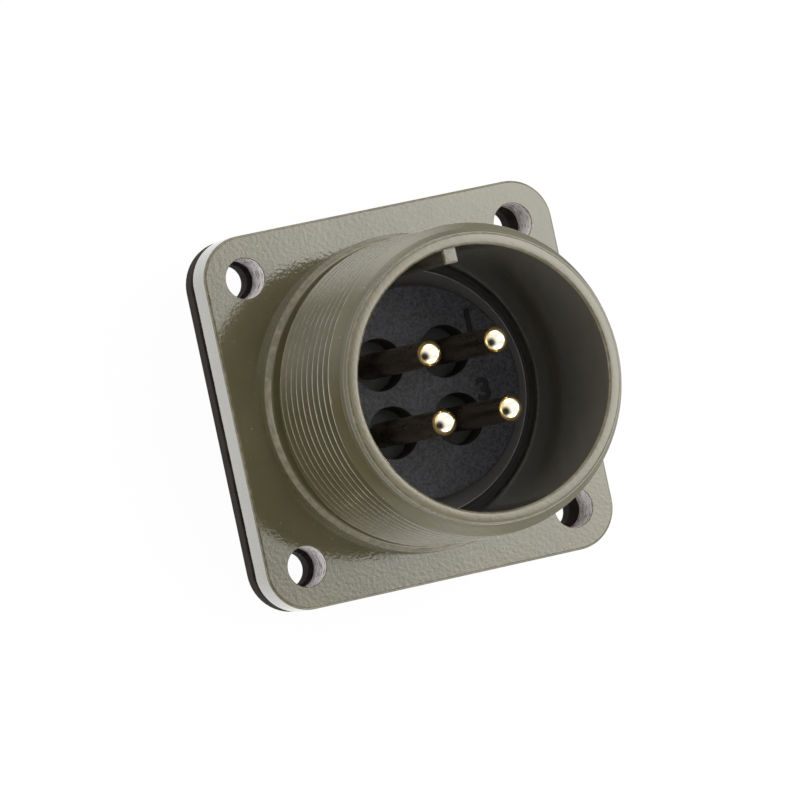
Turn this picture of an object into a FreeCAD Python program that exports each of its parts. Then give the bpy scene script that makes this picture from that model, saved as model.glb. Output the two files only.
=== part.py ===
import FreeCAD, Part
import os
from math import cos, hypot, radians, sin, tan, acos

from FreeCAD import Vector

# Box-mount circular receptacle with four pin contacts. All sizes are in millimetres.
# +Z is the plugging axis, pointing at the mating plug, and the key is at +Y.
# The origin is the centre of the flange's rear face, where the gasket lies.

# Flange and its screw holes
hole_spacing = 26.97
hole_margin = 3.98
hole_d = 3.75
hole_break = 0.12
flange_thick = 3.4
flange_corner_r = 4.0
flange_edge_r = 0.25

# Barrel in front of the flange
thread_d = 28.575
front_reach = 19.05
collar_step = 0.46
collar_len = 1.9
collar_edge_r = 0.25
thread_pitch = 1.411
thread_depth = 0.87
thread_crest = 0.18
thread_flank_deg = 30.0
thread_chamfer = 0.9
nose_step = 1.05
nose_len = 1.75
nose_wall = 1.14
nose_edge_r = 0.12
mouth_bevel = 0.35

# Key inside the barrel
key_width = 1.5
key_height = 1.4
key_setback = 2.05
key_edge_r = 0.25

# Land inside the shell that stops the insulators, and its notch
land_step = 0.45
land_setback = 0.9
land_len = 2.0
notch_width = 2.1

# Sleeve behind the flange, with the groove of the retaining ring
sleeve_wall = 1.4
sleeve_len = 12.3
sleeve_edge_r = 0.25
groove_depth = 0.45

# Retaining ring
ring_thick = 0.9
ring_width = 1.2
ring_gap_deg = 24.0
ring_edge_r = 0.12

# Gasket
gasket_thick = 1.6
gasket_overhang = 0.15
gasket_hole_d = 3.3
gasket_edge_r = 0.1

# Insulators
shelf_rise = 0.8
shelf_width = 1.55
shelf_edge_r = 0.1
face_height = 2.3
face_edge_r = 0.3
front_flange_len = 2.0
rear_insulator_len = 4.7
rear_edge_r = 0.2
recess_d = 4.9
recess_depth = 3.0
cup_countersink = 0.3

# Contacts
contact_spacing_x = 6.6
contact_spacing_y = 6.38
pin_d = 2.39
pin_tip_r = 0.95
pin_setback = 3.05
shank_rise = 0.35
contact_collar_rise = 0.3
contact_collar_len = 1.5
cup_wall = 0.35
cup_bore_d = 2.6
cup_depth = 6.1
cup_inset = 0.6
cup_edge_r = 0.08
scarf_len = 2.6
scarf_slope_len = 1.2

# Clearances, each on the radius or on one side
insulator_clearance = 0.08
contact_clearance = 0.05
ring_clearance = 0.05
gasket_clearance = 0.9
notch_clearance = 0.05

# Radii that follow from the sizes above
thread_r = thread_d / 2
thread_root_r = thread_r - thread_depth
nose_r = thread_r - nose_step
bore_r = nose_r - nose_wall
collar_r = thread_r + collar_step
land_r = bore_r - land_step
sleeve_r = bore_r + sleeve_wall
groove_r = bore_r + groove_depth
shelf_r = land_r - insulator_clearance
face_r = shelf_r - shelf_width
insulator_r = bore_r - insulator_clearance
pin_r = pin_d / 2
shank_r = pin_r + shank_rise
contact_collar_r = shank_r + contact_collar_rise
cup_bore_r = cup_bore_d / 2
cup_r = cup_bore_r + cup_wall
recess_r = recess_d / 2

# Heights that follow from the sizes above
flange_side = hole_spacing + 2 * hole_margin
front_z = flange_thick + front_reach
land_top_z = flange_thick - land_setback
land_bottom_z = land_top_z - land_len
shelf_z = land_top_z + shelf_rise
face_z = shelf_z + face_height
recess_floor_z = face_z - recess_depth
joint_z = land_bottom_z - front_flange_len
insulator_end_z = joint_z - rear_insulator_len
ring_end_z = insulator_end_z - ring_thick
sleeve_end_z = -sleeve_len
tip_z = front_z - pin_setback
cup_end_z = sleeve_end_z + cup_inset
cup_floor_z = cup_end_z + cup_depth

# Extra length by which a cutting tool passes the face that it opens
overcut = 1.0


def screw_places():
    # Centres of the four screw holes
    half = hole_spacing / 2
    return [(x * half, y * half) for y in (1, -1) for x in (-1, 1)]


def contact_places():
    # Centres of the four contacts, in the order of their numbers
    half_x = contact_spacing_x / 2
    half_y = contact_spacing_y / 2
    return [(x * half_x, y * half_y) for y in (1, -1) for x in (1, -1)]


def corner_arc(before, corner, after, radius):
    # Start, middle and end of the arc that rounds one corner of a profile
    back = (before[0] - corner[0], before[1] - corner[1])
    ahead = (after[0] - corner[0], after[1] - corner[1])
    back_len = hypot(*back)
    ahead_len = hypot(*ahead)
    u = (back[0] / back_len, back[1] / back_len)
    v = (ahead[0] / ahead_len, ahead[1] / ahead_len)
    half_angle = acos(u[0] * v[0] + u[1] * v[1]) / 2
    reach = radius / tan(half_angle)
    bisector = (u[0] + v[0], u[1] + v[1])
    size = hypot(*bisector)
    to_middle = radius / sin(half_angle) - radius
    start = (corner[0] + u[0] * reach, corner[1] + u[1] * reach)
    end = (corner[0] + v[0] * reach, corner[1] + v[1] * reach)
    middle = (corner[0] + bisector[0] / size * to_middle, corner[1] + bisector[1] / size * to_middle)
    return start, middle, end


def profile_face(corners, place):
    # Closed face from corners (a, b) or (a, b, rounding radius); place turns (a, b) into a point
    edges = []
    ends = []
    count = len(corners)
    for i, corner in enumerate(corners):
        if len(corner) == 2:
            ends.append((place(*corner), place(*corner)))
            continue
        start, middle, end = corner_arc(corners[i - 1], corner, corners[(i + 1) % count], corner[2])
        edges.append(Part.Arc(place(*start), place(*middle), place(*end)).toShape())
        ends.append((place(*start), place(*end)))
    for i in range(count):
        leave = ends[i][1]
        arrive = ends[(i + 1) % count][0]
        if leave.distanceToPoint(arrive) > 1e-6:
            edges.append(Part.LineSegment(leave, arrive).toShape())
    return Part.Face(Part.Wire(Part.__sortEdges__(edges)))


def turned(corners):
    # Solid turned about Z from a profile of (radius, height) corners
    face = profile_face(corners, lambda r, z: Vector(r, 0, z))
    return face.revolve(Vector(0, 0, 0), Vector(0, 0, 1), 360)


def rounded_plate(side, corner_r, low_z, high_z, edge_r):
    # Square plate with rounded corners and a rounded rim on both faces
    plate = Part.makeBox(side, side, high_z - low_z, Vector(-side / 2, -side / 2, low_z))
    upright = [e for e in plate.Edges if abs(e.tangentAt(e.FirstParameter).z) > 0.9]
    plate = plate.makeFillet(corner_r, upright)
    rims = [e for e in plate.Edges if e.BoundBox.ZLength < 1e-6]
    return plate.makeFillet(edge_r, rims)


def hole_tool(radius, low_z, high_z, edge_break):
    # Drill for a through hole, with its two mouths broken by a small bevel
    return turned([
        (0, low_z - overcut),
        (radius + edge_break, low_z - overcut),
        (radius + edge_break, low_z),
        (radius, low_z + edge_break),
        (radius, high_z - edge_break),
        (radius + edge_break, high_z),
        (radius + edge_break, high_z + overcut),
        (0, high_z + overcut),
    ])


def at_each(tool, places):
    # Copies of one shape at a list of places
    return [tool.translated(Vector(x, y, 0)) for x, y in places]


def thread_corners(low_z, high_z):
    # Outline of the fine thread with its true pitch, depth and flanks, turned as grooves side by side
    flank_len = thread_depth * tan(radians(thread_flank_deg))
    count = int((high_z - low_z - thread_crest) / thread_pitch)
    corners = [(thread_r, low_z)]
    for i in range(count):
        start = low_z + thread_crest + i * thread_pitch
        end = start + thread_pitch - thread_crest
        corners.append((thread_r, start))
        corners.append((thread_root_r, start + flank_len))
        corners.append((thread_root_r, end - flank_len))
        corners.append((thread_r, end))
    corners.append((thread_r, high_z))
    return corners


def barrel():
    # Outside of the shell in front of the flange: collar, threaded length and plain nose
    collar_top_z = flange_thick + collar_len
    thread_end_z = front_z - nose_len
    return turned([
        (0, 0),
        (collar_r, 0),
        (collar_r, collar_top_z, collar_edge_r),
    ] + thread_corners(collar_top_z, thread_end_z - thread_chamfer) + [
        (nose_r, thread_end_z),
        (nose_r, front_z, nose_edge_r),
        (0, front_z),
    ])


def sleeve():
    # Outside of the shell behind the flange
    return turned([
        (0, sleeve_end_z),
        (sleeve_r, sleeve_end_z, sleeve_edge_r),
        (sleeve_r, flange_thick / 2),
        (0, flange_thick / 2),
    ])


def shell_bore():
    # Space inside the shell: mouth, land, insulator seat and ring groove
    groove_top_z = insulator_end_z + ring_clearance
    groove_end_z = ring_end_z - ring_clearance
    return turned([
        (0, front_z + overcut),
        (bore_r + mouth_bevel, front_z + overcut),
        (bore_r + mouth_bevel, front_z),
        (bore_r, front_z - mouth_bevel),
        (bore_r, land_top_z),
        (land_r, land_top_z),
        (land_r, land_bottom_z),
        (bore_r, land_bottom_z),
        (bore_r, groove_top_z),
        (groove_r, groove_top_z),
        (groove_r, groove_end_z),
        (bore_r, groove_end_z),
        (bore_r, sleeve_end_z + mouth_bevel),
        (bore_r + mouth_bevel, sleeve_end_z),
        (bore_r + mouth_bevel, sleeve_end_z - overcut),
        (0, sleeve_end_z - overcut),
    ])


def key():
    # Rib along the bore that lets the plug in one way round, with its inner edges rounded
    crest = bore_r - key_height
    root = bore_r + nose_wall / 2
    section = profile_face([
        (-key_width / 2, root),
        (-key_width / 2, crest, key_edge_r),
        (key_width / 2, crest, key_edge_r),
        (key_width / 2, root),
    ], lambda x, y: Vector(x, y, land_top_z + shelf_rise))
    return section.extrude(Vector(0, 0, front_z - key_setback - land_top_z - shelf_rise))


def notch_tool():
    # Notch through the land at the bottom, which keeps the insulator from turning
    return Part.makeBox(notch_width, 2 * land_step, land_len,
                        Vector(-notch_width / 2, -bore_r, land_bottom_z))


def shell():
    # One casting: square flange, barrel, rear sleeve, key and land
    body = rounded_plate(flange_side, flange_corner_r, 0, flange_thick, flange_edge_r)
    body = body.fuse([barrel(), sleeve()])
    body = body.cut([shell_bore(), notch_tool()])
    body = body.fuse(key())
    drill = hole_tool(hole_d / 2, 0, flange_thick, hole_break)
    return body.cut(at_each(drill, screw_places())).removeSplitter()


def flange_gasket():
    # Flat rubber sheet behind the flange, open for the sleeve and the four screws
    side = flange_side + 2 * gasket_overhang
    corner_r = flange_corner_r + gasket_overhang
    sheet = rounded_plate(side, corner_r, -gasket_thick, 0, gasket_edge_r)
    opening = Part.makeCylinder(sleeve_r + gasket_clearance, gasket_thick, Vector(0, 0, -gasket_thick))
    screw_hole = Part.makeCylinder(gasket_hole_d / 2, gasket_thick, Vector(0, 0, -gasket_thick))
    return sheet.cut([opening] + at_each(screw_hole, screw_places()))


def front_insulator():
    # Moulded disc that carries the pins, with a recess round each one
    disc = turned([
        (0, joint_z),
        (insulator_r, joint_z),
        (insulator_r, land_bottom_z),
        (shelf_r, land_bottom_z),
        (shelf_r, shelf_z, shelf_edge_r),
        (face_r, shelf_z),
        (face_r, face_z, face_edge_r),
        (0, face_z),
    ])
    rib_reach = land_step / 2
    rib = Part.makeBox(notch_width - 2 * notch_clearance, rib_reach + insulator_clearance + land_step, land_len,
                       Vector(notch_clearance - notch_width / 2, -land_r - rib_reach, land_bottom_z))
    recess = Part.makeCylinder(recess_r, recess_depth + overcut, Vector(0, 0, recess_floor_z))
    through = Part.makeCylinder(shank_r + contact_clearance, face_z - joint_z + overcut,
                                Vector(0, 0, joint_z - overcut))
    return disc.fuse(rib).cut(at_each(recess.fuse(through), contact_places())).removeSplitter()


def rear_insulator():
    # Disc behind the front insulator; its pockets hold the collars of the contacts
    disc = turned([
        (0, insulator_end_z),
        (insulator_r, insulator_end_z, rear_edge_r),
        (insulator_r, joint_z),
        (0, joint_z),
    ])
    pocket_r = contact_collar_r + contact_clearance
    hole_r = cup_r + contact_clearance
    pocket = turned([
        (0, joint_z + overcut),
        (pocket_r, joint_z + overcut),
        (pocket_r, joint_z - contact_collar_len),
        (hole_r, joint_z - contact_collar_len),
        (hole_r, insulator_end_z + cup_countersink),
        (hole_r + cup_countersink, insulator_end_z),
        (hole_r + cup_countersink, insulator_end_z - overcut),
        (0, insulator_end_z - overcut),
    ])
    return disc.cut(at_each(pocket, contact_places()))


def scarf_tool():
    # Cuts the open side of a solder cup, with a sloped run-out, on its +X side
    side = 2 * cup_r + overcut
    face = profile_face([
        (0, cup_end_z - overcut),
        (cup_r + overcut, cup_end_z - overcut),
        (cup_r + overcut, cup_end_z + scarf_len),
        (cup_r, cup_end_z + scarf_len),
        (0, cup_end_z + scarf_len - scarf_slope_len),
    ], lambda x, z: Vector(x, -side / 2, z))
    return face.extrude(Vector(0, side, 0))


def contact():
    # Turned contact on the Z axis: domed pin, thicker shank in the insulator, collar and solder cup
    collar_low_z = joint_z - contact_collar_len
    blank = turned([
        (0, tip_z),
        (pin_r, tip_z, pin_tip_r),
        (pin_r, recess_floor_z),
        (shank_r, recess_floor_z),
        (shank_r, joint_z),
        (contact_collar_r, joint_z),
        (contact_collar_r, collar_low_z),
        (cup_r, collar_low_z),
        (cup_r, cup_end_z, cup_edge_r),
        (cup_bore_r, cup_end_z),
        (cup_bore_r, cup_floor_z),
        (0, cup_floor_z + cup_bore_r / 2),
    ])
    return blank.cut(scarf_tool())


def placed_contact(x, y):
    # One contact at its place, turned so that its cup opens away from the middle
    outward = FreeCAD.Rotation(Vector(1, 0, 0), Vector(x, y, 0))
    one = contact()
    one.Placement = FreeCAD.Placement(Vector(x, y, 0), outward)
    return one


def retaining_ring():
    # Split spring ring in the groove, with its gap at the top
    outer_r = groove_r - ring_clearance
    inner_r = outer_r - ring_width
    ring = turned([
        (inner_r, ring_end_z, ring_edge_r),
        (outer_r, ring_end_z),
        (outer_r, insulator_end_z),
        (inner_r, insulator_end_z, ring_edge_r),
    ])
    half = radians(ring_gap_deg / 2)
    reach = 2 * outer_r
    corners = [(0, 0), (reach * sin(-half), reach * cos(half)), (reach * sin(half), reach * cos(half))]
    wedge = profile_face(corners, lambda x, y: Vector(x, y, ring_end_z))
    return ring.cut(wedge.extrude(Vector(0, 0, ring_thick)))


def all_pieces():
    pieces = {
        "shell": shell(),
        "flange_gasket": flange_gasket(),
        "front_insulator": front_insulator(),
        "rear_insulator": rear_insulator(),
        "retaining_ring": retaining_ring(),
    }
    for number, (x, y) in enumerate(contact_places(), start=1):
        pieces["contact_" + str(number)] = placed_contact(x, y)
    return pieces


os.makedirs("parts", exist_ok=True)
for name, shape in all_pieces().items():
    shape.exportStep("parts/" + name + ".step")
    print(name, "solids", len(shape.Solids), "valid", shape.isValid(), "volume", round(shape.Volume, 1))
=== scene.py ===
from math import pi, radians, sin, tan

import bpy
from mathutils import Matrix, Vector


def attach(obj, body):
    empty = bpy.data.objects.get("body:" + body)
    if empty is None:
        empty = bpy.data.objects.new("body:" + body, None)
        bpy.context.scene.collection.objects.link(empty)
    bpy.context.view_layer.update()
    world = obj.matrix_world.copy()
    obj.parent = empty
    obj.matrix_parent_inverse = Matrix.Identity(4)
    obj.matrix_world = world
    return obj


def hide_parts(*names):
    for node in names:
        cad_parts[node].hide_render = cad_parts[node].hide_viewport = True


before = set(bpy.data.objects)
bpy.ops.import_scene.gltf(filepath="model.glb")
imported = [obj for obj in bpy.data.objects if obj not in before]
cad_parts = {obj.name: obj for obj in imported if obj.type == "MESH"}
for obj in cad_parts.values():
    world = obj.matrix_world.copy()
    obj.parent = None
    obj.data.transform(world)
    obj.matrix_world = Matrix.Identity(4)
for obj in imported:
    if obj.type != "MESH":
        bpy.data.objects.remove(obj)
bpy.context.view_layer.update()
mm = 0.001
weldDistance = 0.0005 * mm  # corners nearer than this become one
print("frame loaded:", ", ".join(sorted(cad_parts)))


def letGo():
    if bpy.context.object and bpy.context.object.mode != "OBJECT":
        bpy.ops.object.mode_set(mode="OBJECT")
    bpy.ops.object.select_all(action="DESELECT")


def takeUp(piece):
    letGo()
    piece.select_set(True)
    bpy.context.view_layer.objects.active = piece


def openUp(piece, kind="VERT"):
    takeUp(piece)
    bpy.ops.object.mode_set(mode="EDIT")
    bpy.ops.mesh.select_mode(type=kind)
    bpy.ops.mesh.select_all(action="SELECT")


def closeUp():
    bpy.ops.object.mode_set(mode="OBJECT")


def nameIt(piece, name):
    piece.name = name
    piece.data.name = name
    return piece


# Picks the edges whose two ends pass the test, and leaves the piece in edit mode
def pickEdges(piece, test):
    openUp(piece, "EDGE")
    bpy.ops.mesh.select_all(action="DESELECT")
    closeUp()
    corners = piece.data.vertices
    for edge in piece.data.edges:
        edge.select = test(*(corners[i].co / mm for i in edge.vertices))
    bpy.ops.object.mode_set(mode="EDIT")


def applyStep(piece, kind, **settings):
    takeUp(piece)
    bpy.ops.object.modifier_add(type=kind)
    step = piece.modifiers[-1]
    for key, value in settings.items():
        setattr(step, key, value)
    bpy.ops.object.modifier_apply(modifier=step.name)


# Joins, cuts or trims a piece with another one, which is then thrown away
def combine(piece, tool, operation):
    applyStep(piece, "BOOLEAN", operation=operation, solver="MANIFOLD", object=tool)
    bpy.data.objects.remove(tool)


def movePiece(piece, offset):
    openUp(piece)
    bpy.ops.transform.translate(value=Vector(offset) * mm)
    closeUp()


def turnPiece(piece, angle):
    openUp(piece)
    bpy.ops.transform.rotate(value=-angle, orient_axis="Z", center_override=(0, 0, 0))
    closeUp()


def copyPiece(piece, name):
    takeUp(piece)
    bpy.ops.object.duplicate()
    return nameIt(bpy.context.object, name)


def smoothShade(piece, angle=30):
    takeUp(piece)
    bpy.ops.object.shade_smooth_by_angle(angle=radians(angle))
    applyStep(piece, "WEIGHTED_NORMAL", keep_sharp=True, weight=80)


# Outline corners are (radius, height) or (radius, height, rounding), all in mm
def roundedOutline(corners, closed=False, parts=6):
    points = []
    for i, corner in enumerate(corners):
        here = Vector(corner[:2])
        if len(corner) == 2:
            points.append(here)
            continue
        after = corners[(i + 1) % len(corners)]
        toBefore = (Vector(corners[i - 1][:2]) - here).normalized()
        toAfter = (Vector(after[:2]) - here).normalized()
        half = toBefore.angle(toAfter) / 2
        centre = here + (toBefore + toAfter).normalized() * corner[2] / sin(half)
        first = here + toBefore * corner[2] / tan(half) - centre
        last = here + toAfter * corner[2] / tan(half) - centre
        sweep = first.angle(last)
        for k in range(parts + 1):
            t = k / parts
            spoke = first * sin(sweep * (1 - t)) + last * sin(sweep * t)
            points.append(centre + spoke / sin(sweep))
    return points + points[:1] if closed else points


# Draws an outline in the XZ plane by extruding one point on and on
def drawOutline(name, points):
    letGo()
    bpy.ops.mesh.primitive_plane_add(size=mm)
    piece = nameIt(bpy.context.object, name)
    openUp(piece)
    bpy.ops.mesh.merge(type="CENTER")
    at = Vector((points[0].x, 0, points[0].y)) * mm
    bpy.ops.transform.translate(value=at)
    for point in points[1:]:
        goal = Vector((point.x, 0, point.y)) * mm
        bpy.ops.mesh.extrude_vertices_move(TRANSFORM_OT_translate={"value": goal - at})
        at = goal
    closeUp()
    return piece


# Turned solid; its outline starts and ends on the axis, or goes round in a loop
def turnSolid(name, corners, steps=96, parts=6, closed=False):
    piece = drawOutline(name, roundedOutline(corners, closed=closed, parts=parts))
    openUp(piece)
    bpy.ops.mesh.spin(steps=steps, angle=2 * pi, center=(0, 0, 0), axis=(0, 0, 1))
    bpy.ops.mesh.select_all(action="SELECT")
    bpy.ops.mesh.remove_doubles(threshold=weldDistance)
    bpy.ops.mesh.normals_make_consistent(inside=False)
    closeUp()
    return piece


def turnRod(name, radius, low, high, steps=96):
    return turnSolid(name, [(0, low), (radius, low), (radius, high), (0, high)], steps=steps)


# Start of a drill's outline: it stands clear above the face and rounds the rim of its hole
def drillMouth(radius, face, rimRound):
    clear, flare, skim = 1.0, 0.5, 0.002
    return [
        (0, face + clear),
        (radius + flare, face + clear),
        (radius + flare, face + skim),
        (radius, face + skim, rimRound),
    ]


# Block with given low and high corners in mm
def addBlock(name, low, high):
    letGo()
    size = Vector(high) - Vector(low)
    middle = Vector(low) + size / 2
    bpy.ops.mesh.primitive_cube_add(size=1, location=middle * mm, scale=size * mm)
    bpy.ops.object.transform_apply(location=True, rotation=True, scale=True)
    return nameIt(bpy.context.object, name)


# Plate with rounded corners and rounded rims
def addPlate(name, width, height, cornerRound, low, high, rimRound, cornerParts=14, rimParts=5):
    piece = addBlock(name, (-width / 2, -height / 2, low), (width / 2, height / 2, high))
    pickEdges(piece, lambda a, b: abs(a.z - b.z) > 0.1)
    bpy.ops.mesh.bevel(offset=cornerRound * mm, segments=cornerParts, affect="EDGES")
    pickEdges(piece, lambda a, b: abs(a.z - b.z) < 0.001)
    bpy.ops.mesh.bevel(offset=rimRound * mm, segments=rimParts, affect="EDGES")
    closeUp()
    return piece


# Materials; patterns read Object coordinates, so their sizes are true

def startMaterial(name, **settings):
    material = bpy.data.materials.new(name)
    material.use_nodes = True
    shader = material.node_tree.nodes["Principled BSDF"]
    for key, value in settings.items():
        shader.inputs[key].default_value = value
    return material, material.node_tree, shader


def addNode(tree, kind, **inputs):
    node = tree.nodes.new("ShaderNode" + kind)
    for key, value in inputs.items():
        node.inputs[key].default_value = value
    return node


def addNoise(tree, size, detail=2.0, rough=0.5, stretch=None):
    noise = addNode(tree, "TexNoise", Scale=1 / (size * mm), Detail=detail, Roughness=rough)
    place = addNode(tree, "TexCoord")
    source = place.outputs["Object"]
    if stretch:
        mapping = addNode(tree, "Mapping", Scale=stretch)
        tree.links.new(source, mapping.inputs["Vector"])
        source = mapping.outputs["Vector"]
    tree.links.new(source, noise.inputs["Vector"])
    return noise.outputs["Fac"]


def addBump(tree, height, depth, strength=1.0, under=None):
    bump = addNode(tree, "Bump", Strength=strength, Distance=depth * mm)
    tree.links.new(height, bump.inputs["Height"])
    if under:
        tree.links.new(under, bump.inputs["Normal"])
    return bump.outputs["Normal"]


# Colours are blended along a ramp of (place, colour) stops
def addRamp(tree, factor, stops):
    ramp = tree.nodes.new("ShaderNodeValToRGB")
    marks = ramp.color_ramp.elements
    for mark, (place, colour) in zip(marks, stops[:2]):
        mark.position = place
        mark.color = (*colour, 1)
    for place, colour in stops[2:]:
        marks.new(place).color = (*colour, 1)
    tree.links.new(factor, ramp.inputs["Fac"])
    return ramp.outputs["Color"]


def addRange(tree, value, low, high, toLow, toHigh, kind="LINEAR"):
    limits = {"From Min": low, "From Max": high, "To Min": toLow, "To Max": toHigh}
    spread = addNode(tree, "MapRange", **limits)
    spread.interpolation_type = kind
    tree.links.new(value, spread.inputs["Value"])
    return spread.outputs["Result"]


def addMath(tree, kind, first, second):
    step = addNode(tree, "Math")
    step.operation = kind
    for value, socket in zip((first, second), step.inputs):
        if isinstance(value, (int, float)):
            socket.default_value = value
        else:
            tree.links.new(value, socket)
    return step.outputs["Value"]


# Lays a plain colour over another one by a factor
def addMix(tree, factor, under, over):
    mix = tree.nodes.new("ShaderNodeMix")
    mix.data_type = "RGBA"
    tree.links.new(factor, mix.inputs["Factor"])
    tree.links.new(under, mix.inputs["A"])
    mix.inputs["B"].default_value = (*over, 1)
    return mix.outputs["Result"]


# Shows the second shader in place of the first one, by a factor
def addSwitch(tree, factor, first, second):
    switch = tree.nodes.new("ShaderNodeMixShader")
    tree.links.new(factor, switch.inputs["Fac"])
    tree.links.new(first, switch.inputs[1])
    tree.links.new(second, switch.inputs[2])
    return switch.outputs["Shader"]


olivePaint = {
    "colours": ((0.071, 0.065, 0.033), (0.088, 0.08, 0.042)),
    # lighter, greyer colours for the inner bore wall: painted light that lifts its shade
    "coloursInsidePaintedLight": ((0.12, 0.11, 0.085), (0.135, 0.124, 0.096)),
    "index": 1.65,
    "cloudSize": 6.0,
    "wornAndHighlightColour": (0.14, 0.115, 0.07),
    "wornAndHighlightSize": 0.7,
    "wornAndHighlightAbove": (0.42, 0.62),
    "wornAndHighlightShare": 0.8,
    "wornRough": 0.2,
    "dustColour": (0.4, 0.38, 0.33),
    "dustSize": 0.22,
    "dustAbove": (0.76, 0.82),
    "dustShare": 0.6,
    "gloss": (0.06, 0.11),
    "glossSize": 2.5,
    "peelSize": 0.38,
    "peelDepth": 0.009,
    "waveSize": 2.2,
    "waveDepth": 0.006,
    "coatStarts": 0.45,
    "coatFull": 0.7,
    "coatIndex": 3.2,
    "coatRough": 0.12,
}


# Gloss paint: orange peel, worn edges lightened partly by wear and partly as a painted highlight, some dust,
# and a coat that mirrors more at a slant
def paintMaterial(name, dark, light):
    p = olivePaint
    material, tree, shader = startMaterial(name, IOR=p["index"])
    cloud = addNoise(tree, p["cloudSize"], detail=4)
    colour = addRamp(tree, cloud, [(0.3, dark), (0.7, light)])
    edges = addNode(tree, "Attribute")
    edges.attribute_name = "edgeWearAndHighlight"
    wearAndHighlight = addRange(tree, addNoise(tree, p["wornAndHighlightSize"], detail=4), *p["wornAndHighlightAbove"], 0.0, p["wornAndHighlightShare"])
    wearAndHighlight = addMath(tree, "MULTIPLY", wearAndHighlight, edges.outputs["Fac"])
    # Lighter colour on rounded edges and crests: partly paint wear, partly painted highlight
    colour = addMix(tree, wearAndHighlight, colour, p["wornAndHighlightColour"])
    dust = addRange(tree, addNoise(tree, p["dustSize"], detail=1), *p["dustAbove"], 0.0, p["dustShare"])
    colour = addMix(tree, dust, colour, p["dustColour"])
    gloss = addRange(tree, addNoise(tree, p["glossSize"], detail=3), 0.3, 0.7, *p["gloss"])
    gloss = addMath(tree, "ADD", gloss, addMath(tree, "MULTIPLY", wearAndHighlight, p["wornRough"]))
    wave = addBump(tree, addNoise(tree, p["waveSize"], detail=1), p["waveDepth"])
    peel = addBump(tree, addNoise(tree, p["peelSize"], detail=2), p["peelDepth"], under=wave)
    slant = addNode(tree, "LayerWeight", Blend=0.5)
    coat = addRange(tree, slant.outputs["Facing"], p["coatStarts"], p["coatFull"], 0.0, 1.0)
    tree.links.new(colour, shader.inputs["Base Color"])
    tree.links.new(gloss, shader.inputs["Roughness"])
    tree.links.new(peel, shader.inputs["Normal"])
    tree.links.new(coat, shader.inputs["Coat Weight"])
    shader.inputs["Coat IOR"].default_value = p["coatIndex"]
    shader.inputs["Coat Roughness"].default_value = p["coatRough"]
    tree.links.new(peel, shader.inputs["Coat Normal"])
    return material


# Bare metal of the screw holes, with the drill's marks round them
drilledMetal = {
    "settings": {"Metallic": 0.2},
    "pattern": {"size": 0.4, "detail": 5, "rough": 0.7, "stretch": (0.6, 0.6, 2.4)},
    "colours": [(0.4, (0.22, 0.19, 0.2)), (0.49, (0.93, 0.89, 0.9)), (0.75, (1.0, 0.98, 0.985))],
    "gloss": (0.5, 0.3),
    "depth": 0.08,
}
blackRubber = {
    "settings": {"Specular IOR Level": 0.06},
    "pattern": {"size": 1.5, "detail": 5},
    "colours": [(0.3, (0.012, 0.0096, 0.0086)), (0.75, (0.035, 0.0278, 0.0246))],
    "gloss": (0.55, 0.75),
    "relief": {"size": 0.2, "detail": 3},
    "depth": 0.02,
}
# The pins' sides are duller than their domes; their much darker gold is painted shade
dullGoldPaintedShade = {
    "settings": {"Metallic": 1.0},
    "pattern": {"size": 0.6, "detail": 4, "stretch": (1, 1, 0.2)},
    "colours": [(0.3, (0.3, 0.24, 0.17)), (0.7, (0.46, 0.36, 0.24))],
    "gloss": (0.25, 0.35),
    "depth": 0.002,
}
springSteel = {
    "settings": {"Metallic": 1.0},
    "pattern": {"size": 0.8, "detail": 4, "stretch": (1, 1, 3)},
    "colours": [(0.3, (0.35, 0.34, 0.33)), (0.7, (0.55, 0.54, 0.52))],
    "gloss": (0.28, 0.42),
    "depth": 0.004,
}


def goldFinish(dark, light):
    return {
        "settings": {"Metallic": 1.0},
        "pattern": {"size": 1.2, "detail": 3},
        "colours": [(0.3, dark), (0.7, light)],
        "gloss": (0.08, 0.16),
        "relief": {"size": 0.3, "detail": 2, "stretch": (0.3, 0.3, 3.0)},
        "depth": 0.001,
    }


# Moulded plastic; its shades are greys, or near to it
def mouldedFinish(grainSize, grainDepth, dark, light):
    return {
        "settings": {"Specular IOR Level": 0.3},
        "pattern": {"size": grainSize, "detail": 3, "rough": 0.6},
        "colours": [(0.35, dark), (0.65, light)],
        "gloss": (0.45, 0.6),
        "depth": grainDepth,
    }


# One pattern blends the colours and the gloss; it is the relief as well where a finish has none of its own
def patternMaterial(name, finish, deepPaintedShade=None):
    material, tree, shader = startMaterial(name, **finish["settings"])
    pattern = addNoise(tree, **finish["pattern"])
    colour = addRamp(tree, pattern, finish["colours"])
    # Optional painted shade: the colour darkens towards the bottom of the given height range
    if deepPaintedShade:
        place = addNode(tree, "TexCoord")
        parts = addNode(tree, "SeparateXYZ")
        tree.links.new(place.outputs["Object"], parts.inputs["Vector"])
        share = addRange(tree, parts.outputs["Z"], deepPaintedShade["low"] * mm, deepPaintedShade["high"] * mm, 1.0, 0.0)
        colour = addMix(tree, share, colour, deepPaintedShade["colour"])
    relief = addNoise(tree, **finish["relief"]) if "relief" in finish else pattern
    tree.links.new(colour, shader.inputs["Base Color"])
    tree.links.new(addRange(tree, pattern, 0.3, 0.7, *finish["gloss"]), shader.inputs["Roughness"])
    tree.links.new(addBump(tree, relief, finish["depth"]), shader.inputs["Normal"])
    return material


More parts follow.
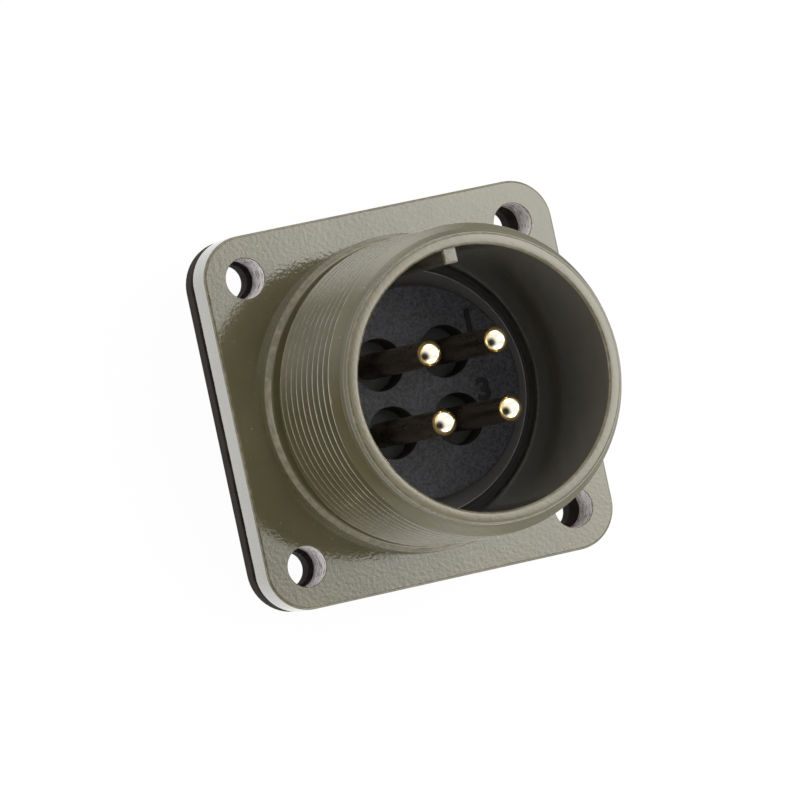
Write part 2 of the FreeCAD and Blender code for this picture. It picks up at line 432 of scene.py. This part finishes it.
paint = paintMaterial("glossyOlivePaint", *olivePaint["colours"])
insidePaintWithPaintedLight = paintMaterial("boreInsidePaintedLight", *olivePaint["coloursInsidePaintedLight"])
bareMetal = patternMaterial("drilledAluminium", drilledMetal)
rubber = patternMaterial("blackRubber", blackRubber)
grainPlastic = patternMaterial("grainedPlastic",
                               mouldedFinish(0.22, 0.06, (0.022, 0.022, 0.025), (0.092, 0.092, 0.108)))
# The smooth plastic is far lighter than the black moulding: painted reflection of the lit bore wall on the
# shelf and sides
smoothPlasticPaintedReflection = patternMaterial("smoothPlasticPaintedReflection",
                                mouldedFinish(0.2, 0.002, (0.14, 0.134, 0.13), (0.16, 0.153, 0.148)))
# Recess walls lighter than the black moulding are painted light in their shade; the floor darkens towards the
# bottom as painted shade
recessPlasticPaintedLightAndShade = patternMaterial("recessPlasticPaintedLightAndShade",
                                mouldedFinish(0.2, 0.002, (0.07, 0.07, 0.07), (0.08, 0.08, 0.08)),
                                deepPaintedShade={"low": 2.7, "high": 5.4, "colour": (0.042, 0.042, 0.042)})
# A light grey on the shelf's rounded outer edge: painted highlight
shelfEdgePaintedHighlight = patternMaterial("paintedHighlightPlasticEdge",
                                mouldedFinish(0.2, 0.002, (0.55, 0.53, 0.5), (0.75, 0.73, 0.7)))
plainPlastic = patternMaterial("plainPlastic",
                               mouldedFinish(0.4, 0.01, (0.022, 0.022, 0.024), (0.045, 0.045, 0.048)))
numberPlastic = patternMaterial("numberPlastic",
                                mouldedFinish(0.2, 0.001, (0.008, 0.008, 0.008), (0.01, 0.01, 0.01)))
# flat grey on the land in the gap between insulator and bore: painted shade of that gap
landPaintedShade = patternMaterial("landPaintedShadeGrey",
                             mouldedFinish(0.2, 0.002, (0.06, 0.06, 0.056), (0.07, 0.07, 0.066)))
gold = patternMaterial("goldPlate", goldFinish((0.9, 0.66, 0.3), (0.95, 0.74, 0.4)))
# Much paler gold on the domes: painted highlight
domeGoldPaintedHighlight = patternMaterial("paleGoldPaintedHighlight", goldFinish((0.97, 0.88, 0.68), (1.0, 0.94, 0.78)))
pinSideGoldPaintedShade = patternMaterial("dullGoldPaintedShade", dullGoldPaintedShade)
steel = patternMaterial("springSteel", springSteel)
print("materials made")


def dress(piece, *materials):
    piece.data.materials.clear()
    for material in materials:
        piece.data.materials.append(material)


# Faces that pass the test get the material with the given place in the list
def dressSome(piece, place, test):
    for face in piece.data.polygons:
        if test(face.center / mm, face.normal):
            face.material_index = place


# Marks corners of a piece where the test finds a rounded edge, for the paint's wear and its painted highlight
def markWear(piece, test):
    layer = piece.data.attributes.new("edgeWearAndHighlight", "FLOAT", "CORNER")
    marks = [0.0] * len(piece.data.loops)
    for face in piece.data.polygons:
        if test(face.center / mm, face.normal):
            for i in face.loop_indices:
                marks[i] = 1.0
    layer.data.foreach_set("value", marks)


# Shell: flange, barrel with its thread, nose, bore, key and rear sleeve

shellSizes = {
    "side": 34.93,
    "cornerRound": 4.0,
    "rimRound": 0.25,
    "flangeTop": 3.4,
    "holeSpacing": 26.97,
    "holeRadius": 1.875,
    "sleeveRadius": 13.4975,
    "sleeveEnd": -12.3,
    "collarRadius": 14.7475,
    "collarTop": 5.3,
    "collarBevel": (0.46, 0.7),
    "noseRadius": 13.2375,
    "front": 22.45,
    "boreRadius": 12.0975,
    "landRadius": 11.6475,
    "landTop": 2.5,
    "landBottom": 0.5,
    "grooveRadius": 12.5475,
    "grooveTop": -6.15,
    "grooveEnd": -7.15,
    "lipBevel": 0.18,
    "keyWidth": 1.5,
    "keyCrest": 10.6975,
    "keyLow": 3.3,
    "keyHigh": 20.4,
    "keyRound": 0.22,
    "notchHalf": 1.05,
}
threadSizes = {
    "crestRadius": 14.2875,
    "rootRadius": 13.42,
    "pitch": 1.411,
    "crestFlat": 0.21,
    "flankRise": 0.5,
    "foot": 0.03,
    "crestRound": 0.09,
    "sunk": 0.3,
    "overlap": 0.01,
    "chamferSunk": 0.02,
    "crestHeight": 5.6,
    "low": 6.55,
    "chamferLow": 20.5,
    "chamferHigh": 21.4,
    "turns": 15,
    "steps": 180,
}


# The ridge is one long screw; the envelope gives it its two ends and the chamfer
def buildThread():
    t = threadSizes
    crest = t["crestFlat"] / 2
    flank = crest + t["flankRise"]
    root = t["rootRadius"] - t["overlap"]
    inside = t["rootRadius"] - t["sunk"]
    bottom = t["crestHeight"] - 3 * t["pitch"]
    outline = roundedOutline([
        (inside, -flank - t["foot"]),
        (root, -flank - t["foot"]),
        (root, -flank, t["foot"]),
        (t["crestRadius"], -crest, t["crestRound"]),
        (t["crestRadius"], crest, t["crestRound"]),
        (root, flank, t["foot"]),
        (root, flank + t["foot"]),
        (inside, flank + t["foot"]),
    ], closed=True, parts=3)
    ridge = drawOutline("threadRidge", [Vector((p.x, p.y + bottom)) for p in outline])
    openUp(ridge)
    bpy.ops.mesh.remove_doubles(threshold=weldDistance)
    closeUp()
    applyStep(ridge, "SCREW", axis="Z", angle=2 * pi, screw_offset=t["pitch"] * mm,
              iterations=t["turns"], steps=t["steps"], render_steps=t["steps"])
    openUp(ridge)
    bpy.ops.mesh.remove_doubles(threshold=weldDistance)
    bpy.ops.mesh.select_all(action="DESELECT")
    bpy.ops.mesh.select_non_manifold()
    bpy.ops.mesh.fill_holes(sides=0)
    bpy.ops.mesh.select_all(action="SELECT")
    bpy.ops.mesh.normals_make_consistent(inside=False)
    closeUp()
    nose = shellSizes["noseRadius"]
    slope = (t["crestRadius"] - nose) / (t["chamferHigh"] - t["chamferLow"])
    top = t["chamferHigh"] - t["chamferSunk"]
    wide = t["crestRadius"] + 0.4
    narrow = inside - 0.2
    envelope = turnSolid("threadEnvelope", [
        (0, t["low"]),
        (wide, t["low"]),
        (wide, top - (wide - nose) / slope),
        (narrow, top - (narrow - nose) / slope),
        (0, top - (narrow - nose) / slope),
    ], steps=t["steps"])
    combine(ridge, envelope, "INTERSECT")
    return ridge


def turnCasting():
    s = shellSizes
    t = threadSizes
    coneRun = (t["chamferHigh"] - t["chamferLow"]) / (t["crestRadius"] - s["noseRadius"])
    rootEnd = t["chamferHigh"] - (t["rootRadius"] - s["noseRadius"]) * coneRun
    footRadius = s["collarRadius"] + 0.3
    footTop = s["flangeTop"] - 0.02
    return turnSolid("shellCasting", [
        (s["sleeveRadius"], s["sleeveEnd"], 0.25),
        (s["sleeveRadius"], s["flangeTop"] / 2),
        (footRadius, s["flangeTop"] / 2),
        (footRadius, footTop),
        (s["collarRadius"], footTop),
        (s["collarRadius"], s["collarTop"] - s["collarBevel"][1], 0.35),
        (s["collarRadius"] - s["collarBevel"][0], s["collarTop"], 0.3),
        (t["rootRadius"], s["collarTop"], 0.1),
        (t["rootRadius"], rootEnd),
        (s["noseRadius"], t["chamferHigh"], 0.1),
        (s["noseRadius"], s["front"], 0.26),
        (s["boreRadius"] + s["lipBevel"], s["front"], 0.12),
        (s["boreRadius"], s["front"] - s["lipBevel"], 0.12),
        (s["boreRadius"], s["landTop"]),
        (s["landRadius"], s["landTop"]),
        (s["landRadius"], s["landBottom"]),
        (s["boreRadius"], s["landBottom"]),
        (s["boreRadius"], s["grooveTop"]),
        (s["grooveRadius"], s["grooveTop"]),
        (s["grooveRadius"], s["grooveEnd"]),
        (s["boreRadius"], s["grooveEnd"]),
        (s["boreRadius"], s["sleeveEnd"] + s["lipBevel"], 0.1),
        (s["boreRadius"] + s["lipBevel"], s["sleeveEnd"], 0.1),
    ], steps=t["steps"], closed=True)


def buildFlange():
    s = shellSizes
    plate = addPlate("flangePlate", s["side"], s["side"], s["cornerRound"], 0, s["flangeTop"], s["rimRound"])
    wallMiddle = (s["boreRadius"] + s["sleeveRadius"]) / 2
    combine(plate, turnRod("middleTool", wallMiddle, -1, 5), "DIFFERENCE")
    half = s["holeSpacing"] / 2
    for x in (-half, half):
        for y in (-half, half):
            drill = turnSolid("drillTool", drillMouth(s["holeRadius"], s["flangeTop"], 0.08) + [
                (s["holeRadius"], -0.002, 0.05),
                (s["holeRadius"] + 0.5, -0.002),
                (s["holeRadius"] + 0.5, -1),
                (0, -1),
            ], steps=72)
            movePiece(drill, (x, y, 0))
            combine(plate, drill, "DIFFERENCE")
    return plate


# Edges where the paint may be rubbed and gets a painted highlight: flange, collar, rim and thread crests
def isRoundedEdge(at, facing):
    s = shellSizes
    radius = at.xy.length
    oblique = 0.1 < abs(facing.z) < 0.99
    onFlange = radius > s["collarRadius"] + 1 and oblique
    onCollar = abs(radius - s["collarRadius"]) < 0.5 and abs(at.z - s["collarTop"]) < 0.45 and oblique
    onRim = at.z > s["front"] - 0.4 and oblique
    onCrest = radius > threadSizes["crestRadius"] - 0.05 and at.z > s["collarTop"]
    return onFlange or onCollar or onRim or onCrest


def isHoleWall(at, facing):
    s = shellSizes
    half = s["holeSpacing"] / 2
    fromMiddle = Vector((abs(at.x) - half, abs(at.y) - half)).length
    return 0.1 < at.z < s["flangeTop"] - 0.1 and fromMiddle < s["holeRadius"] + 0.02


def isLand(at, facing):
    s = shellSizes
    return s["grooveEnd"] < at.z < s["landTop"] + 0.01 and at.xy.length < s["boreRadius"] - 0.01


def isBoreWall(at, facing):
    s = shellSizes
    inReach = s["landTop"] < at.z < s["front"] - s["lipBevel"]
    return inReach and s["boreRadius"] - 0.05 < at.xy.length < s["boreRadius"] + 0.01


def buildKey():
    s = shellSizes
    half = s["keyWidth"] / 2
    key = addBlock("keyRib", (-half, s["keyCrest"], s["keyLow"]), (half, s["boreRadius"] + 0.5, s["keyHigh"]))
    pickEdges(key, lambda a, b: min(a.y, b.y) < s["keyCrest"] + 0.01 and a.z + b.z > 2 * s["keyLow"] + 0.1)
    bpy.ops.mesh.bevel(offset=s["keyRound"] * mm, segments=4, affect="EDGES")
    closeUp()
    return key


def buildShell():
    s = shellSizes
    core = turnCasting()
    combine(core, buildFlange(), "UNION")
    combine(core, buildKey(), "UNION")
    notch = addBlock("notchTool", (-s["notchHalf"], -s["boreRadius"], s["landBottom"] - 0.1),
                     (s["notchHalf"], -s["landRadius"] + 0.5, s["landTop"] + 0.1))
    combine(core, notch, "DIFFERENCE")
    combine(core, buildThread(), "UNION")
    openUp(core)
    bpy.ops.mesh.remove_doubles(threshold=weldDistance)
    closeUp()
    dress(core, paint, bareMetal, landPaintedShade, insidePaintWithPaintedLight)
    dressSome(core, 1, isHoleWall)
    # painted shade on the land in the gap
    dressSome(core, 2, isLand)
    # the bore wall takes the lighter paint, painted light in the barrel's shaded inside
    dressSome(core, 3, isBoreWall)
    smoothShade(core)
    markWear(core, isRoundedEdge)
    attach(core, "root")
    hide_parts("shell")
    return core


shell = buildShell()
print("shell done, faces:", len(shell.data.polygons))


# Gasket behind the flange; its screw holes sit a little to the left, as on the loose sheet

gasketSizes = {
    "side": 35.23,
    "height": 34.75,
    "cornerRound": 4.15,
    "thickness": 1.6,
    "rimRound": 0.12,
    "opening": 14.3975,
    "holeRadius": 1.65,
    "holeShift": {-1: (-0.3, 0.0), 1: (-0.75, 0.05)},
}


def buildGasket():
    g = gasketSizes
    sheet = addPlate("gasketSheet", g["side"], g["height"], g["cornerRound"],
                     -g["thickness"], 0, g["rimRound"])
    combine(sheet, turnRod("openingTool", g["opening"], -3, 1, steps=180), "DIFFERENCE")
    half = shellSizes["holeSpacing"] / 2
    for sideX in (-1, 1):
        for sideY in (-1, 1):
            shiftX, shiftY = g["holeShift"][sideX]
            punch = turnRod("punchTool", g["holeRadius"], -3, 1, steps=64)
            movePiece(punch, (sideX * half + shiftX, sideY * half + shiftY, 0))
            combine(sheet, punch, "DIFFERENCE")
    dress(sheet, rubber)
    smoothShade(sheet)
    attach(sheet, "root")
    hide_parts("flange_gasket")
    return sheet


buildGasket()
print("gasket done")


# Front insulator with its raised face, shelf and recesses

insulatorSizes = {
    "radius": 12.0175,
    "low": -1.5,
    "landBottom": 0.5,
    "shelfRadius": 11.5675,
    "shelf": 3.3,
    "faceRadius": 10.0175,
    "face": 5.6,
    "recessRadius": 2.45,
    "recessFloor": 2.6,
    "lip": 0.12,
    "pinHole": 1.198,
    "shankRadius": 1.595,
    "ribHalf": 1.0,
    "ribOuter": 11.87,
    "ribInner": 11.3,
    "ribTop": 2.5,
    "edgeRound": 0.18,
}
contactPlaces = {1: (3.3, 3.19), 2: (-3.3, 3.19), 3: (3.3, -3.19), 4: (-3.3, -3.19)}


def isRaisedFace(at, facing):
    return at.z > insulatorSizes["face"] - 0.05 and facing.z > 0.9


def isRecess(at, facing):
    n = insulatorSizes
    return at.z < n["face"] - 0.05 and at.xy.length < n["faceRadius"] - 0.1


# Faces of the shelf's rounded outer edge, which get the painted highlight
def isShelfEdge(at, facing):
    n = insulatorSizes
    nearEdge = at.xy.length > n["shelfRadius"] - n["edgeRound"] and at.z > n["shelf"] - n["edgeRound"]
    return nearEdge and 0.15 < facing.z < 0.97


def buildInsulator():
    n = insulatorSizes
    disc = turnSolid("frontInsulatorMoulding", [
        (0, n["low"]),
        (n["radius"], n["low"], 0.1),
        (n["radius"], n["landBottom"]),
        (n["shelfRadius"], n["landBottom"]),
        (n["shelfRadius"], n["shelf"], n["edgeRound"]),
        (n["faceRadius"], n["shelf"], 0.12),
        (n["faceRadius"], n["face"], 0.3),
        (0, n["face"]),
    ], steps=144)
    rib = addBlock("ribBlock", (-n["ribHalf"], -n["ribOuter"], n["landBottom"] - 0.2),
                   (n["ribHalf"], -n["ribInner"], n["ribTop"]))
    combine(disc, rib, "UNION")
    recess = turnSolid("recessTool", drillMouth(n["recessRadius"], n["face"], 0.08) + [
        (n["recessRadius"], n["recessFloor"] + n["lip"], 0.2),
        (n["pinHole"], n["recessFloor"] + n["lip"]),
        (n["pinHole"], n["recessFloor"]),
        (n["shankRadius"], n["recessFloor"]),
        (n["shankRadius"], n["low"] - 1),
        (0, n["low"] - 1),
    ], steps=72)
    for x, y in contactPlaces.values():
        one = copyPiece(recess, "recessCopy")
        movePiece(one, (x, y, 0))
        combine(disc, one, "DIFFERENCE")
    bpy.data.objects.remove(recess)
    dress(disc, smoothPlasticPaintedReflection, grainPlastic, recessPlasticPaintedLightAndShade, shelfEdgePaintedHighlight)
    dressSome(disc, 1, isRaisedFace)
    dressSome(disc, 2, isRecess)
    dressSome(disc, 3, isShelfEdge)
    smoothShade(disc)
    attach(disc, "root")
    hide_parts("front_insulator")
    return disc


numberSizes = {
    "places": {1: (6.2, 5.4), 2: (-6.2, 5.4), 3: (6.3, -1.1), 4: (-6.3, -1.1)},
    "tall": 2.9,
    "thicken": 0.07,
    "raise": 0.08,
    "bevel": 0.03,
    "weld": 0.001,
}


# Moulded contact numbers, a little proud of the face
def buildNumbers():
    w = numberSizes
    pieces = []
    for number, (x, y) in w["places"].items():
        letGo()
        bpy.ops.object.text_add(location=(x * mm, y * mm, insulatorSizes["face"] * mm))
        digit = bpy.context.object
        digit.data.body = str(number)
        digit.data.size = w["tall"] * mm
        digit.data.align_x = "CENTER"
        digit.data.align_y = "CENTER"
        digit.data.offset = w["thicken"] * mm
        digit.data.extrude = w["raise"] * mm
        digit.data.bevel_depth = w["bevel"] * mm
        bpy.ops.object.convert(target="MESH")
        bpy.ops.object.transform_apply(location=True, rotation=True, scale=True)
        pieces.append(bpy.context.object)
    letGo()
    for piece in pieces:
        piece.select_set(True)
    bpy.context.view_layer.objects.active = pieces[0]
    bpy.ops.object.join()
    numbers = nameIt(bpy.context.object, "contactNumbers")
    openUp(numbers)
    bpy.ops.mesh.remove_doubles(threshold=w["weld"] * mm)
    bpy.ops.mesh.normals_make_consistent(inside=False)
    closeUp()
    dress(numbers, numberPlastic)
    smoothShade(numbers)
    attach(numbers, "root")


buildInsulator()
buildNumbers()
print("front insulator and its numbers done")


# Contacts: domed pins in front, solder cups behind

contactSizes = {
    "tip": 19.4,
    "pinRadius": 1.195,
    "dome": (0.72, 0.62),
    "domeRound": 1.38,
    "shoulderRound": 0.25,
    "paintedHighlightRadius": 0.9,
    "shankTop": 2.6,
    "shankRadius": 1.545,
    "joint": -1.5,
    "collarRadius": 1.845,
    "collarLow": -3.0,
    "cupRadius": 1.65,
    "cupBore": 1.3,
    "cupEnd": -11.7,
    "cupFloor": -5.6,
    "scarf": 2.6,
    "scarfSlope": 1.2,
    "scarfRound": 0.3,
}


def isPinSide(at, facing):
    return at.z > contactSizes["joint"] and abs(facing.z) < 0.01


# Dome faces, which get the paler gold as a painted highlight
def isDome(at, facing):
    c = contactSizes
    return at.z > c["tip"] - c["dome"][1] and at.xy.length < c["paintedHighlightRadius"]


# One contact, with its cup cut off at a slant so that a wire can be laid in
def buildContact():
    c = contactSizes
    pin = turnSolid("contactBlank", [
        (0, c["tip"]),
        (c["dome"][0], c["tip"], c["domeRound"]),
        (c["pinRadius"], c["tip"] - c["dome"][1], c["shoulderRound"]),
        (c["pinRadius"], c["shankTop"]),
        (c["shankRadius"], c["shankTop"], 0.05),
        (c["shankRadius"], c["joint"]),
        (c["collarRadius"], c["joint"], 0.05),
        (c["collarRadius"], c["collarLow"], 0.05),
        (c["cupRadius"], c["collarLow"]),
        (c["cupRadius"], c["cupEnd"], 0.08),
        (c["cupBore"], c["cupEnd"], 0.06),
        (c["cupBore"], c["cupFloor"]),
        (0, c["cupFloor"] + c["cupBore"] / 2),
    ], steps=72, parts=10)
    top = c["cupEnd"] + c["scarf"]
    wide = c["cupRadius"] + 1
    scarf = drawOutline("scarfTool", roundedOutline([
        (0, c["cupEnd"] - 1),
        (wide, c["cupEnd"] - 1),
        (wide, top),
        (c["cupRadius"], top),
        (0, top - c["scarfSlope"], c["scarfRound"]),
    ], closed=True))
    openUp(scarf)
    bpy.ops.mesh.remove_doubles(threshold=weldDistance)
    bpy.ops.mesh.edge_face_add()
    bpy.ops.transform.translate(value=(0, -wide * mm, 0))
    bpy.ops.mesh.extrude_region_move(TRANSFORM_OT_translate={"value": (0, 2 * wide * mm, 0)})
    bpy.ops.mesh.select_all(action="SELECT")
    bpy.ops.mesh.normals_make_consistent(inside=False)
    closeUp()
    combine(pin, scarf, "DIFFERENCE")
    dress(pin, gold, pinSideGoldPaintedShade, domeGoldPaintedHighlight)
    # pin sides take the darker gold, painted shade
    dressSome(pin, 1, isPinSide)
    dressSome(pin, 2, isDome)
    return pin


def placeContacts():
    blank = buildContact()
    for number, (x, y) in contactPlaces.items():
        one = copyPiece(blank, "turnedContact" + str(number))
        turnPiece(one, -Vector((1, 0)).angle_signed(Vector((x, y))))
        movePiece(one, (x, y, 0))
        smoothShade(one)
        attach(one, "root")
        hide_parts("contact_" + str(number))
    bpy.data.objects.remove(blank)


placeContacts()
print("contacts done")

# Hidden pieces behind the flange keep their solids and get their finish here
hiddenPieces = {
    "rear_insulator": (plainPlastic, "black_plastic"),
    "retaining_ring": (steel, "spring_steel"),
}
for node, (material, slotName) in hiddenPieces.items():
    dress(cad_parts[node], material)
print("hidden pieces dressed")


# Stage, light and camera

stageSetup = {
    "floorSize": 4.0,
    "floorColour": (0.9, 0.9, 0.9),
    "whiteShare": 0.95,
    "worldLight": 0.95,
}


# One where the camera, a reflection or a transmission looks straight at the surface
def seenDirectly(tree):
    path = tree.nodes.new("ShaderNodeLightPath")
    seen = addMath(tree, "MAXIMUM", path.outputs["Is Camera Ray"], path.outputs["Is Glossy Ray"])
    return addMath(tree, "MAXIMUM", seen, path.outputs["Is Transmission Ray"])


# The floor shows white but lights the part as a pale sheet does
def buildStage():
    letGo()
    floorHeight = (shellSizes["sleeveEnd"] - 0.01) * mm
    bpy.ops.mesh.primitive_plane_add(size=stageSetup["floorSize"], location=(0, 0, floorHeight))
    floor = nameIt(bpy.context.object, "paleFloor")
    bpy.ops.object.transform_apply(location=True, rotation=True, scale=True)
    material, tree, shader = startMaterial("paleFloorPaint", Roughness=0.9)
    shader.inputs["Base Color"].default_value = (*stageSetup["floorColour"], 1)
    glow = addNode(tree, "Emission", Color=(1, 1, 1, 1), Strength=1.0)
    share = addMath(tree, "MULTIPLY", seenDirectly(tree), stageSetup["whiteShare"])
    shown = addSwitch(tree, share, shader.outputs["BSDF"], glow.outputs["Emission"])
    tree.links.new(shown, tree.nodes["Material Output"].inputs["Surface"])
    dress(floor, material)


def buildWorld():
    world = bpy.data.worlds.new("whiteRoom")
    bpy.context.scene.world = world
    world.use_nodes = True
    tree = world.node_tree
    soft = tree.nodes["Background"]
    soft.inputs["Strength"].default_value = stageSetup["worldLight"]
    soft.inputs["Color"].default_value = (1, 1, 1, 1)
    white = addNode(tree, "Background", Color=(1, 1, 1, 1), Strength=1.0)
    shown = addSwitch(tree, seenDirectly(tree), soft.outputs["Background"], white.outputs["Background"])
    tree.links.new(shown, tree.nodes["World Output"].inputs["Surface"])


# A softbox has a direction from the part, and a distance and size in metres; its brightness holds
# over the solid middle and fades to 1, the white room's own, at the edge
softboxes = {
    "frontSoftbox": {"way": (0.378, 0.066, 0.605), "far": 0.7, "size": (0.5, 0.5),
                     "bright": 5.6, "solid": 0.2},
    "lowerSoftbox": {"way": (0.25, -0.85, 0.5), "far": 0.7, "size": (1.0, 0.6), "bright": 4.0, "solid": 0.05},
    "upperSoftbox": {"way": (0.1, 0.85, 0.5), "far": 0.7, "size": (1.0, 0.6), "bright": 4.0, "solid": 0.05},
    "leftSoftbox": {"way": (-1.0, 0.0, 0.2), "far": 0.7, "size": (0.7, 0.36), "bright": 3.5, "solid": 0.05},
    "rightSoftbox": {"way": (1.0, 0.0, 0.4), "far": 0.7, "size": (0.7, 0.5), "bright": 3.5, "solid": 0.05},
}
softboxTint = (1.0, 0.985, 0.94, 1.0)
darkCard = {"way": (-0.59, -0.254, 0.766), "far": 1.1, "size": (2.2, 2.2), "solid": 0.13}


def addPanel(name, setup):
    letGo()
    bpy.ops.mesh.primitive_plane_add(size=1)
    panel = nameIt(bpy.context.object, name)
    panel.scale = (*setup["size"], 1)
    way = Vector(setup["way"]).normalized()
    panel.rotation_mode = "QUATERNION"
    panel.rotation_quaternion = way.to_track_quat("Z", "Y")
    panel.location = way * setup["far"]
    bpy.ops.object.transform_apply(location=True, rotation=True, scale=True)
    panel.visible_camera = False
    return panel


# Falls from full to its value at the edge, beyond the solid middle of a panel
def fadeOut(tree, solid, full, edge):
    place = addNode(tree, "TexCoord")
    reach = addNode(tree, "VectorMath")
    reach.operation = "DISTANCE"
    reach.inputs[1].default_value = (0.5, 0.5, 0)
    tree.links.new(place.outputs["UV"], reach.inputs[0])
    return addRange(tree, reach.outputs["Value"], solid, 0.5, full, edge, kind="SMOOTHSTEP")


def buildSoftboxes():
    for name, setup in softboxes.items():
        material, tree, shader = startMaterial(name + "Cover")
        glow = addNode(tree, "Emission", Color=softboxTint)
        tree.links.new(fadeOut(tree, setup["solid"], setup["bright"], 1.0), glow.inputs["Strength"])
        tree.links.new(glow.outputs["Emission"], tree.nodes["Material Output"].inputs["Surface"])
        dress(addPanel(name, setup), material)


# A black card behind the camera keeps the left of the barrel from reflecting the white room
def buildCard():
    material, tree, shader = startMaterial("blackCardPaper", Roughness=1.0)
    shader.inputs["Base Color"].default_value = (0.01, 0.01, 0.01, 1)
    tree.links.new(fadeOut(tree, darkCard["solid"], 1.0, 0.0), shader.inputs["Alpha"])
    card = addPanel("blackCard", darkCard)
    card.visible_diffuse = False
    dress(card, material)


# The camera stands where the photograph's did, told by the screw holes and the rim
cameraSetup = {
    "place": (-0.279122, 0.000094, 0.727720),
    "turn": (4.5724, -20.5134, -12.9489),
    "lens": 379.1,
    "sensor": 36.0,
    "clip": (0.01, 50),
}


def buildCamera():
    c = cameraSetup
    letGo()
    bpy.ops.object.camera_add(location=c["place"], rotation=[radians(angle) for angle in c["turn"]])
    camera = bpy.context.object
    camera.data.lens = c["lens"]
    camera.data.sensor_width = c["sensor"]
    camera.data.clip_start, camera.data.clip_end = c["clip"]
    bpy.context.scene.camera = camera


buildStage()
buildWorld()
buildSoftboxes()
buildCard()
buildCamera()
bpy.context.scene.view_settings.view_transform = "Standard"
print("stage, light and camera done")

letGo()
